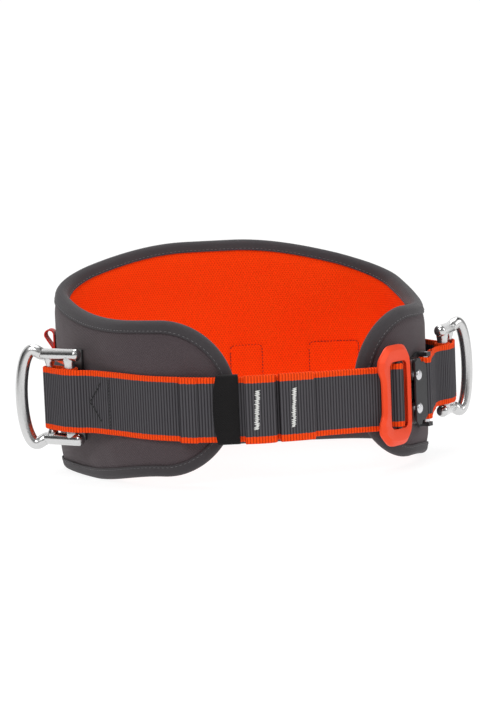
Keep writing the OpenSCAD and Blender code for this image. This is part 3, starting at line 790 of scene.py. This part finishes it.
for i, (middle, half) in enumerate([(-103, 22.5), (-27.5, 13.5), (27.5, 13.5), (103, 22.5)]):
    ss = np.linspace(middle - half, middle + half, 40)[:, None]
    height = web_height(on_pad(ss, 0.0, np.zeros_like(ss))[..., 1])
    off = np.linspace(-30, 30, 60)[None]
    zz = height + off
    up = sleeve_rise(zz, height) + 0.1 * np.cos((ss - middle) / half * np.pi * 3)
    ss = np.broadcast_to(ss, zz.shape)
    rows = np.concatenate([on_pad(ss, zz, -up), on_pad(ss, zz, -up + 0.95)[:, ::-1]], 1)
    lay = coords(ss, zz, up)
    sleeve = skin(f"sleeve_{i}", rows, np.concatenate([lay, lay[:, ::-1]], 1), sharp=50)
    dress(sleeve, outer_cloth, "belt", "outer_fabric", "webbing_tunnels")
    for j, at in enumerate((-28.2, 28.2)):
        lip_s = np.linspace(middle - half + 1, middle + half - 1, 40)
        lip_z = web_height(on_pad(lip_s, 0.0, np.zeros(40))[:, 1]) + at
        line, lifted = (on_pad(lip_s, lip_z, np.full(40, -SLEEVE_LIP - lift)) for lift in (0, 1))
        dress(seam(f"sleeve_stitches_{i}_{j}", line, lifted - line), dark_thread, "belt", None)

# %% [markdown]
# ## The front strap
# The strap is sewn to itself beside the left ring, after going round the ring's outer bar. Where it
# passes the hinge its line follows the belt up to the stitching and the ring at its fold, and turns
# smoothly between them.

# %% Strap, tabs and folds


def through(points, step=0.9):
    """A smooth line through a few plan points: each stretch is a cubic whose end directions are
    half the step between the point's neighbours."""
    p = np.asarray(points, float)
    d = np.gradient(p, axis=0)
    u = np.linspace(0, 1, 12)[:-1, None, None]
    line = ((2 * u ** 3 - 3 * u ** 2 + 1) * p[:-1] + (u ** 3 - 2 * u ** 2 + u) * d[:-1]
            + (3 * u ** 2 - 2 * u ** 3) * p[1:] + (u ** 3 - u ** 2) * d[1:])
    return even(np.vstack([line.transpose(1, 0, 2).reshape(-1, 2), p[-1:]]), step)[0]


bow_bar = tab_plan(5.5, 0.0)
lead = np.degrees(np.arctan2(*OUTWARD[::-1]))
HINGE_BEND = ((52, 0.0), (46, 0.3), (40, 2.3), (33, 6.0), (24, 7.5), (15, 6.2), (8, 4.5), (5.5, 4.2))
over_hinge = through([tab_plan(t, n) for t, n in HINGE_BEND])
round_bar = circle_plan(bow_bar, 4.2, lead, lead + 180)
behind = tab_plan(np.linspace(6, 15.0, 8), np.linspace(-4.2, -4.0, 8))
right_side = np.vstack([over_hinge[:-1], round_bar, behind])
left_side = right_side * MIRROR
strap_line = np.vstack([strap_plan(np.linspace(50, 209, 160)), left_side[1:]])
strap = ribbon("front_strap_web", strap_line, seed=11)
right_line = np.vstack([tab_plan(np.linspace(59, 53, 6), 0.0), right_side])
tab = ribbon("right_tab_web", right_line, seed=12)


for piece, ring, side, nodes in ((strap, "left_ring", MIRROR, ("front_strap", "left_ring_fold")),
                                 (tab, "right_ring", np.ones(2), ("right_tab", "right_ring_fold"))):
    dress(piece, webbing_finish, None, "webbing", *nodes)
    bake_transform(piece)

# %% [markdown]
# The stitching on the left tab is a vertical row and a V that points at the ring. It lies on the
# strap's outer face, so each stitch line is a plan place and a height. Its thick, dark, nearly
# unbroken stitches are real seams and also painted shade of the creases along them.

# %% Stitching on the left tab
plan = strap_plan(STRAP_FOLD - 60.5, 1.12)
line = np.column_stack([np.tile(plan, (30, 1)), web_height(plan[1]) + np.linspace(-19, 19, 30)])
# Dark, thick and close-set thread: seam stitches that also paint the shade of the crease beside them.
dress(seam("tab_row", line, np.tile([-0.8, -0.6, 0.0], (30, 1)), 2.4, 2.2, 0.42), dark_thread, "belt", None)
VEE_POINT, VEE_LONG, VEE_HIGH = 43.5, 10.5, 15
share = np.linspace(0, 1, 20)
for name, sign in (("lower", -1), ("upper", 1)):
    t = VEE_POINT + VEE_LONG * share
    n = np.interp(t, [40, 46, 52], [2.3, 0.3, 0.0]) + 1.15
    plan = tab_plan(t, 0.0) + n[:, None] * OUTWARD
    line = np.column_stack([plan * MIRROR, web_height(plan[:, 1]) + sign * VEE_HIGH * share])
    out = np.tile([*(OUTWARD * MIRROR), 0.0], (20, 1))
    # Dark, thick and close-set thread: the V's stitches also paint the shade of its creases.
    dress(seam(f"tab_vee_{name}", line, out, 2.4, 2.35, 0.58), dark_thread, "belt", None)

# %% [markdown]
# The tail comes back from the buckle and lies on the strap. Its end is turned under and sewn, and
# nearer the buckle it is gathered in two flat pleats, each held by a bar of zigzag stitching, so
# that it can't slip out of the buckle.

# %% Tail and pleats
STRAP_FACE, PLEAT_FACE = 1.3, 1.3 + 2.2 + 0.95
tail_line = strap_plan(np.linspace(50, 142, 100), STRAP_FACE + 1.1)
tail = ribbon("tail_web", tail_line, seed=13, start=3)
hem_line = strap_plan(np.linspace(131, 142.6, 20), PLEAT_FACE)
hem = ribbon("tail_hem", hem_line, 45.3, 1.7, seed=14, start=1,
             thick_at=lambda far: 0.7 + 0.6 * ease(far / 8))
dress(tail, webbing_finish, "belt", "webbing", "strap_tail")
dress(hem, webbing_finish, "belt", "webbing")

for i, (a0, a1) in enumerate(((50.0, 75.0), (78.0, 99.5))):
    near, far_off = PLEAT_FACE, PLEAT_FACE + 1.75
    nose_at = a0 + 1.2
    lower = strap_plan(np.linspace(a1, nose_at, 30), near)
    swell = 0.8 * np.sin(np.linspace(0, np.pi, 30)) ** 0.7
    upper = strap_plan(np.linspace(nose_at, a1, 30), far_off + swell)
    half_turn = np.linspace(0, np.pi, 8)[1:-1]
    nose = strap_plan(nose_at - 0.87 * np.sin(half_turn),
                      (near + far_off) / 2 - 0.87 * np.cos(half_turn))
    pleat = ribbon(f"pleat_{i}", np.vstack([lower, nose, upper]), 47.4, 1.8, seed=20 + i, start=2 * i)
    dress(pleat, webbing_finish, "belt", "webbing", "strap_pleats")
    middle = (a0 + a1) / 2 + 3.0
    steps = np.arange(0, 44)
    shake = np.random.default_rng(40 + i).normal(0, 0.3, 44)
    side_to_side = middle + 0.03 * (steps - 22) + np.where(steps % 2 == 0, -1.5, 1.5) + shake
    plan = strap_plan(side_to_side, far_off + 0.8 + 0.9)
    line = np.column_stack([plan, web_height(plan[:, 1]) + 13.5 - 27 * steps / 43])
    bar = threads(f"zigzag_{i}", line[:-1], line[1:], np.tile([0.0, -1.0, 0.0], (43, 1)), 0.4, 0.5)
    dress(bar, white_thread, "belt", None)

# %% Elastic keeper
KEEPER_AT, KEEPER_HALF = 110.5, 24.6
place = strap_plan(KEEPER_AT)
ahead = unit(strap_plan(KEEPER_AT + 0.5) - strap_plan(KEEPER_AT - 0.5))
outward = strap_plan(KEEPER_AT, 1.0) - place
corner = np.radians(np.linspace(0, 90, 7))
quarter = coords(2.05 + 1.4 * np.cos(corner), 22.45 + 1.4 * np.sin(corner))
band = np.vstack([quarter, quarter[::-1] * [-1, 1], -quarter, quarter[::-1] * [1, -1]])
band, band_far = even(band, 0.8, True)
facing = np.roll(band, -1, 0) - np.roll(band, 1, 0)
facing = unit(coords(facing[:, 1], -facing[:, 0]))
width = np.array([-7.2, -7.4, -7.4, -7.2, 7.2, 7.4, 7.4, 7.2])
wall = np.array([0.3, 0.15, -0.15, -0.3, -0.3, -0.15, 0.15, 0.3])
rows_d = 1.35 + band[:, :1] + wall[None] * facing[:, :1]
rows_z = band[:, 1:] + wall[None] * facing[:, 1:]
share = (rows_z / KEEPER_HALF) ** 2
bulge = 3.0 * (1 - share) * (width > 0) - 0.5 * share * (width < 0)
plan = place + ahead * (width + bulge)[..., None] + outward * rows_d[..., None]
rows = np.concatenate([plan, (web_height(place[1]) + rows_z)[..., None]], -1)
lay = coords(band_far[:, None], width[None], wall[None])
dress(skin("keeper_band", rows, lay, closed=True, sharp=50), elastic_cloth, "keeper", "elastic",
      "elastic_keeper")

# %% [markdown]
# ## The D-rings
# Each ring is forged from round bar: two legs, a bow bent outwards from them, and two cross bars.
# The bow's middle line is half an ellipse turned about the fold; the section is a circle carried
# along it, shrinking on a quarter circle at the legs' rounded ends.

# %% Rings
LEG, BOW, LEG_END = 30.5, 34.0, 33.5
arc = np.radians(np.linspace(0, 180, 61))
SPREAD_LONG, BOW_DEEP = 8, 9.5
swell = np.linspace(0, 1, 9)[:-1]
fore = np.concatenate([np.linspace(-LEG_END, 0, 20)[:-1], SPREAD_LONG * swell,
                       SPREAD_LONG + BOW_DEEP * np.sin(arc)])
high = np.concatenate([np.full(19, LEG), LEG + (BOW - LEG) * ease(swell), BOW * np.cos(arc)])
mirror_part = slice(26, None, -1)
fore, high = np.concatenate([fore, fore[mirror_part]]), np.concatenate([high, -high[mirror_part]])
lean = np.radians(32) * ease(fore / 4)
spine = coords(-fore * np.cos(lean), fore * np.sin(lean), high)


def tube(spine, radius, side, sides=28):
    """A round section carried along a line. The section's axes are the line's cross product with a
    fixed side direction, and that side made square to the line."""
    ahead = unit(np.gradient(spine, axis=0))
    u = unit(np.cross(ahead, side))
    v = np.cross(u, ahead)
    angle = np.linspace(0, 2 * np.pi, sides + 1)[:-1]
    spread = u[:, None] * np.cos(angle)[None, :, None] - v[:, None] * np.sin(angle)[None, :, None]
    return spine[:, None] + spread * np.broadcast_to(radius, (len(spine),))[:, None, None]


def at_ring(points, side):
    """From a ring's own axes, x forward, y outward, z up, to the belt."""
    plan = FOLD + points[..., :1] * FORWARD + points[..., 1:2] * OUTWARD
    return np.concatenate([plan * side, points[..., 2:] + RING_Z], -1)


spine, spine_far = even(spine, 0.9)
to_end = np.minimum(spine_far, spine_far[-1] - spine_far)
radius = 4.5 * np.sqrt(np.clip(1 - np.clip(1 - (to_end + 0.12) / 3.2, 0, 1) ** 2, 0.02, 1))
bow = tube(spine, radius, np.array([0.0, 1.0, 0.0]))


def post(x, r, collar):
    """A cross bar turned on a lathe, with a collar that swells into each leg."""
    z = np.linspace(-29, 29, 50)
    rr = r + collar * ease((np.abs(z) - 22.9) / 3.5)
    angle = np.linspace(0, 2 * np.pi, 29)[:-1]
    forward, outward = x + rr[:, None] * np.cos(angle), rr[:, None] * np.sin(angle)
    return coords(forward, outward, z[:, None])


for name, side in (("left", MIRROR), ("right", np.ones(2))):
    dress(skin(f"{name}_ring_bow", at_ring(bow, side)), ring_metal, f"{name}_ring", "forged_aluminium",
          f"{name}_d_ring")
    for bar, x, r, collar in (("outer", 5.5, 3.0, 0.9), ("hinge", 24.0, 4.0, 0.4)):
        dress(skin(f"{name}_{bar}_bar", at_ring(post(x, r, collar), side), sharp=50), ring_metal,
              f"{name}_ring", "forged_aluminium")

# %% [markdown]
# ## The buckle
# The buckle lies in its own plane, turned 38 degrees to the strap. Its adjuster is an eight-sided
# anodised frame with wide chamfers. It is made like a picture frame: an outer and an inner outline
# with matching points, and a moulding profile that says how far between the two it is and how deep.

# %% Buckle plane
BUCKLE_TURN = np.radians(38)
BUCKLE_Z = RING_Z - CLIMB * 92


def at_buckle(x, y, z):
    """From the buckle's own axes, x along it, y inwards, z up, to the belt."""
    x, y, z = np.broadcast_arrays(x, y, z)
    return np.stack([57 + x * np.cos(BUCKLE_TURN) - y * np.sin(BUCKLE_TURN),
                     -115.5 + x * np.sin(BUCKLE_TURN) + y * np.cos(BUCKLE_TURN), BUCKLE_Z + z], -1)


def subdivided(corners, count=10):
    """A closed outline with the same number of points on each of its straight sides."""
    c = np.asarray(corners, float)
    share = np.linspace(0, 1, count + 1)[:-1, None, None]
    return (c + (np.roll(c, -1, 0) - c) * share).transpose(1, 0, 2).reshape(-1, 2)


def ease_edges(piece, width, degrees):
    """A bevel in two steps on every edge that is sharper than some degrees."""
    bevel = piece.modifiers.new("eased edges", "BEVEL")
    bevel.width, bevel.segments = width, 2
    bevel.limit_method, bevel.angle_limit = "ANGLE", np.radians(degrees)


# %% The adjuster
outer_line = subdivided([(8, -36), (31, -36), (39, -27), (39, 27), (31, 36), (8, 36),
                         (-3.6, 26), (-3.6, 19), (0.8, 12), (0.8, -12), (-3.6, -19), (-3.6, -26)])
inner_line = subdivided([(13, -24), (30.5, -24), (33, -21.5), (33, 21.5), (30.5, 24), (13, 24),
                         (10, 21.5), (10, 18), (10, 11), (10, -11), (10, -18), (10, -21.5)])
moulding = np.array([(0, 1.2), (0, -0.3), (0.3, -2.1), (0.62, -2.1), (1, -1.3), (1, -0.9), (0.7, -0.9),
                     (0.7, 0.9), (1, 0.9), (1, 1.5), (0.85, 2.0), (0.15, 2.0)])
outer_line, inner_line = smooth_closed(outer_line, 8), smooth_closed(inner_line, 4)
flat = outer_line[:, None] + (inner_line - outer_line)[:, None] * moulding[None, :, :1]
rows = at_buckle(flat[..., 0], moulding[None, :, 1], flat[..., 1])
adjuster = skin("adjuster", rows, closed=True, sharp=25)
ease_edges(adjuster, 0.00035, 24)
dress(adjuster, orange_metal, "tongue", "anodised_orange", "adjuster_frame")

# %% Webbing in the buckle
bar_at = np.array([22.0, 0.0])
around_bar = circle_plan(bar_at, 3.2, 97, -160, 40)
turn_line = np.vstack([through([(14.0, 6.0), (17.5, 5.2), tuple(around_bar[0])], 0.5)[:-1], around_bar,
                       through([tuple(around_bar[-1]), (17.2, 2.6), (14.5, 3.45)], 0.5)[1:]])
wrap_plan = at_buckle(turn_line[:, 0], turn_line[:, 1], 0.0)[:, :2]
wrap = ribbon("bar_wrap", wrap_plan, WEB_WIDTH, 1.9, z=BUCKLE_Z, seed=31, wander=0.05)
dress(wrap, webbing_finish, "gripping_bar", "webbing", "strap_wrap")

RUN_START = (*at_buckle(17.0, 5.8, 0.0)[:2], np.radians(218))
RUN_ARCS = [(7.297, STRAIGHT), (7.959, 12), (46.687, STRAIGHT)]
run_far = np.linspace(0, sum(length for length, _ in RUN_ARCS), 80)
x, y, heading = walk(RUN_START, RUN_ARCS, run_far)
for name, d, node, seed in (("strap_by_buckle", 0.0, "strap_run", 32),
                            ("tail_by_buckle", 2.4, "tail_run", 33)):
    line = coords(x - d * np.sin(heading), y + d * np.cos(heading))
    run = ribbon(name, line, seed=seed, wander=0.08)
    dress(run, webbing_finish, "belt", "webbing", node)
    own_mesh(run)

# %% Webbing round the anchor bar
anchor = at_buckle(61.5, 0.0, 0.0)[:2]
sewn = tab_plan(58.0, 0.0)
towards = np.degrees(np.arctan2(*(sewn - anchor)[::-1]))
round_anchor = circle_plan(anchor, 3.65, towards + 70, towards + 290, 36)
first, last = round_anchor[0], round_anchor[-1]
left_lead = through([sewn + OUTWARD * -1.2, (sewn + first) / 2 + 0.2, first])[:-1]
right_lead = through([last, (sewn + last) / 2, sewn + OUTWARD * 1.2])[1:]
loop_line = np.vstack([left_lead, round_anchor, right_lead])
dress(ribbon("anchor_loop", loop_line, WEB_WIDTH, 1.9, seed=34, wander=0.05), webbing_finish, "belt",
      "webbing", "anchor_webbing")

# %% [markdown]
# Plates, levers and rivets already have the right shape in the frame, but a real edge is never
# perfectly sharp. A welded copy of each gets a small bevel, which gives it a line of light.

# %% Softened hard parts


def softened(node, material, slot):
    """A copy of a CAD node with its corners welded, its flat areas merged and its edges bevelled."""
    work = bmesh.new()
    work.from_mesh(frame["nodes"][node].data)
    bmesh.ops.remove_doubles(work, verts=work.verts, dist=1e-6)
    bmesh.ops.dissolve_limit(work, angle_limit=np.radians(1.0), verts=work.verts, edges=work.edges)
    mesh = bpy.data.meshes.new(node + "_soft")
    work.to_mesh(mesh)
    work.free()
    mesh.polygons.foreach_set("use_smooth", np.ones(len(mesh.polygons), bool))
    mesh.set_sharp_from_angle(angle=np.radians(35))
    piece = bpy.data.objects.new(node + "_soft", mesh)
    show(piece)
    ease_edges(piece, 0.0003, 40)
    return dress(piece, material, frame["nodes"][node]["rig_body"], slot, node)


STEEL, LEVER = (bright_steel, "steel"), (lever_steel, "steel")
DARK, PLASTIC = (dark_steel, "dark_steel"), (black_plastic, "black_plastic")
for node, (material, slot) in (
        ("buckle_back_plate", DARK), ("buckle_cover_plate", DARK), ("buckle_rivets", STEEL),
        ("buckle_spacer", PLASTIC), ("upper_lever", LEVER), ("lower_lever", LEVER),
        ("tongue_plate", STEEL), ("friction_bar", DARK), ("anchor_bar", STEEL),
        ("left_wear_plate", PLASTIC), ("right_wear_plate", PLASTIC)):
    softened(node, material, slot)

# %% Coil springs


def coil(name, z0, z1, turns=6):
    """A wire 0.5 mm thick on a helix: the angle grows evenly as the height does."""
    t = np.linspace(0, 1, 150)
    angle = 2 * np.pi * turns * t
    middle = at_buckle(51.3 + 0.95 * np.cos(angle), 0.95 * np.sin(angle), z0 + (z1 - z0) * t)
    return skin(name, tube(middle, 0.25, np.array([0.0, 0.0, 1.0]), 8))


for name, z0, z1, joint in (("upper", 8.3, 12.7, "upper_release_press"),
                            ("lower", -8.3, -12.7, "lower_release_press")):
    spring = dress(coil(f"{name}_coil", z0, z1), bright_steel, "belt", "spring_wire", f"{name}_spring")
    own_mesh(spring)

# %% [markdown]
# A loop of red ribbon stands on each hip for small tools. Its line is a teardrop in the upright
# plane square to the pad, so the ribbon is carried along it the same way as the rings were.

# %% Gear loops
GEAR_AT, TEAR_ROUND = 153.0, 3.44
x, y, heading = walk(PAD_START, PAD_ARCS, GEAR_AT)
along_pad = np.array([np.cos(heading), np.sin(heading), 0.0])
off_pad = np.array([-np.sin(heading), np.cos(heading), 0.0])
foot_at = on_pad(GEAR_AT, 0.0, -0.5) + [0, 0, web_height(on_pad(GEAR_AT, 0.0, 0.0)[1]) + 23.5]
angle = np.radians(np.linspace(178, -32, 40))
tear_out = np.concatenate([np.full(14, 0.56), 4 + TEAR_ROUND * np.cos(angle),
                           np.linspace(6.8, 1.4, 12)])
tear_up = np.concatenate([np.linspace(0.5, 12, 14), 12.3 + TEAR_ROUND * np.sin(angle),
                          np.linspace(10.2, 1.6, 12)])
tear, tear_far = even(coords(tear_out, tear_up), 0.7)
ahead = unit(np.gradient(tear, axis=0))
wall_u = np.array([-7, -6.8, 6.8, 7, 7, 6.8, -6.8, -7])
wall_n = np.array([0.3, 0.55, 0.55, 0.3, -0.3, -0.55, -0.55, -0.3])
out_by = tear[:, :1] + ahead[:, 1:] * wall_n
up_by = tear[:, 1:] - ahead[:, :1] * wall_n
rows = (foot_at + off_pad * out_by[..., None] + [0, 0, 1] * up_by[..., None]
        + along_pad * np.broadcast_to(wall_u, out_by.shape)[..., None])
lay = coords(tear_far[:, None], wall_u[None], wall_n[None])
for name, side in (("left", np.array([-1.0, 1, 1])), ("right", np.ones(3))):
    dress(skin(f"{name}_gear_ribbon", rows * side, lay, sharp=50), red_cloth, "belt", "red_ribbon",
          f"{name}_gear_loop")

# %% [markdown]
# ## Light
# The setting is a pale sweep under broad soft lamps. The surround is grey in broad upright bands,
# light and dark, so that round metal shows streaks and not one flat tone.

# %% Stage and lamps
rise = np.linspace(0.1, np.pi / 2, 14)
sweep_y = np.concatenate([np.linspace(-3, 1.2, 8), 1.2 + np.sin(rise), np.full(6, 2.2)])
sweep_z = np.concatenate([np.zeros(8), 1.0 - np.cos(rise), np.linspace(1.3, 4, 6)])
sx = np.array([-4.0, 4.0])
rows = coords(sx[None], sweep_y[:, None], sweep_z[:, None])
n = len(sweep_y)
quads = [(2 * i, 2 * i + 1, 2 * i + 3, 2 * i + 2) for i in range(n - 1)]
floor_mesh = bpy.data.meshes.new("floor")
floor_mesh.from_pydata(rows.reshape(-1, 3).tolist(), [], quads)
floor_mesh.polygons.foreach_set("use_smooth", np.ones(n - 1, bool))
floor = bpy.data.objects.new("floor", floor_mesh)
show(floor)
paper, tree, shader = finish("pale paper", (0.16, 0.16, 0.16), 0.9, Specular_IOR_Level=0.1,
                             Emission_Color=(1, 1, 1, 1), Emission_Strength=0.88)
floor.data.materials.append(paper)

surround = bpy.data.worlds.new("surround")
surround.use_nodes = True
tree = surround.node_tree
across, _, _ = split(tree, tree.nodes.new("ShaderNodeTexCoord").outputs["Generated"])
BAND_TURNS, BAND_SWING, BAND_MEAN = 8.0, 0.16, 0.2
wave = calc(tree, "SINE", calc(tree, "MULTIPLY", across, BAND_TURNS))
bands = calc(tree, "MULTIPLY_ADD", wave, BAND_SWING, BAND_MEAN)
tree.links.new(bands, tree.nodes["Background"].inputs["Strength"])
tree.nodes["Background"].inputs["Color"].default_value = (1, 1, 1, 1)
bpy.context.scene.world = surround
bpy.context.scene.view_settings.view_transform = "Standard"


def lamp(name, place, size, power):
    """A square soft lamp aimed at the belt."""
    light = bpy.data.lights.new(name, "AREA")
    light.shape, light.size, light.energy = "SQUARE", size, power
    holder = bpy.data.objects.new(name, light)
    holder.location = place
    holder.rotation_mode = "QUATERNION"
    holder.rotation_quaternion = (Vector((0, 0, 0.06)) - Vector(place)).to_track_quat("-Z", "Y")
    show(holder)


lamp("key", (-1.2, -1.6, 1.7), 1.2, 31)
lamp("fill", (1.9, -1.2, 1.0), 1.4, 17)
lamp("top", (0.1, 0.4, 2.2), 1.6, 26)
